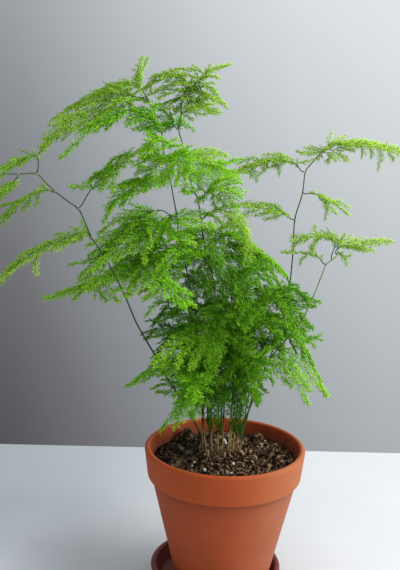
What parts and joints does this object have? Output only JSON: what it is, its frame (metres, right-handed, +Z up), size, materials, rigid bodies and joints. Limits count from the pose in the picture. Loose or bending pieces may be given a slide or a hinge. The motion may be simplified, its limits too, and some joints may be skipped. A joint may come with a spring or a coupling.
{
  "type": "potted asparagus fern",
  "caption": "Feathery asparagus fern with tall wiry stems, tiered sprays and a dense lower bush, growing in a tapered terracotta pot that stands on a darker clay saucer.",
  "frame": {"origin": "on the pot's axis, on the flat underside of the saucer, where it rests", "axes": "+Z up along the pot's axis; +Y away from the viewer of the front view; +X to the viewer's right, towards the tall right-hand stem"},
  "size_m": [0.373, 0.1746, 0.4572],
  "materials": {
    "terracotta": "matte",
    "saucer_clay": "matte",
    "potting_soil": "matte",
    "root_crown": "matte",
    "stem_green": "satin",
    "foliage_light": "matte",
    "foliage_mid": "matte",
    "foliage_deep": "matte"
  },
  "bodies": {
    "root": {"bush_frond_01": "foliage_light", "bush_frond_02": "foliage_deep", "bush_frond_03": "foliage_mid", "bush_frond_04": "foliage_light", "bush_frond_05": "foliage_mid", "bush_frond_06": "foliage_mid", "bush_frond_07": "foliage_mid", "bush_frond_08": "foliage_light", "bush_frond_09": "foliage_light", "bush_frond_10": "foliage_mid", "bush_frond_11": "foliage_deep", "bush_frond_12": "foliage_deep", "bush_frond_13": "foliage_deep", "bush_frond_14": "foliage_mid", "frond_left_end": "foliage_light", "frond_left_inner": "foliage_mid", "frond_left_low": "foliage_light", "frond_left_middle": "foliage_light", "frond_left_tip": "foliage_light", "frond_left_upper": "foliage_light", "frond_low_right_back": "foliage_mid", "frond_low_right_end": "foliage_light", "frond_low_right_inner": "foliage_light", "frond_lower_left": "foliage_mid", "frond_lower_right": "foliage_mid", "frond_middle_back": "foliage_mid", "frond_middle_front": "foliage_mid", "frond_middle_high": "foliage_light", "frond_middle_left": "foliage_deep", "frond_middle_right": "foliage_mid", "frond_right_end": "foliage_light", "frond_right_inner": "foliage_light", "frond_right_outer": "foliage_light", "frond_right_upper": "foliage_light", "frond_shelf_back": "foliage_deep", "frond_shelf_front": "foliage_mid", "frond_shelf_left": "foliage_mid", "frond_shelf_right": "foliage_mid", "frond_top_left": "foliage_light", "frond_top_left_far": "foliage_light", "frond_top_left_tip": "foliage_light", "frond_top_left_under": "foliage_mid", "frond_top_middle": "foliage_light", "frond_top_right": "foliage_light", "frond_top_right_droop": "foliage_light", "frond_upper_back": "foliage_mid", "frond_upper_front": "foliage_mid", "frond_upper_left": "foliage_mid", "frond_upper_right": "foliage_light", "potting_soil": "potting_soil", "root_crown": "root_crown", "saucer": "saucer_clay", "stem_centre_left": "stem_green", "stem_centre_right": "stem_green", "stem_left_arching": "stem_green", "stem_right_low": "stem_green", "stem_right_tall": "stem_green", "terracotta_pot": "terracotta"}
  },
  "joints": []
}
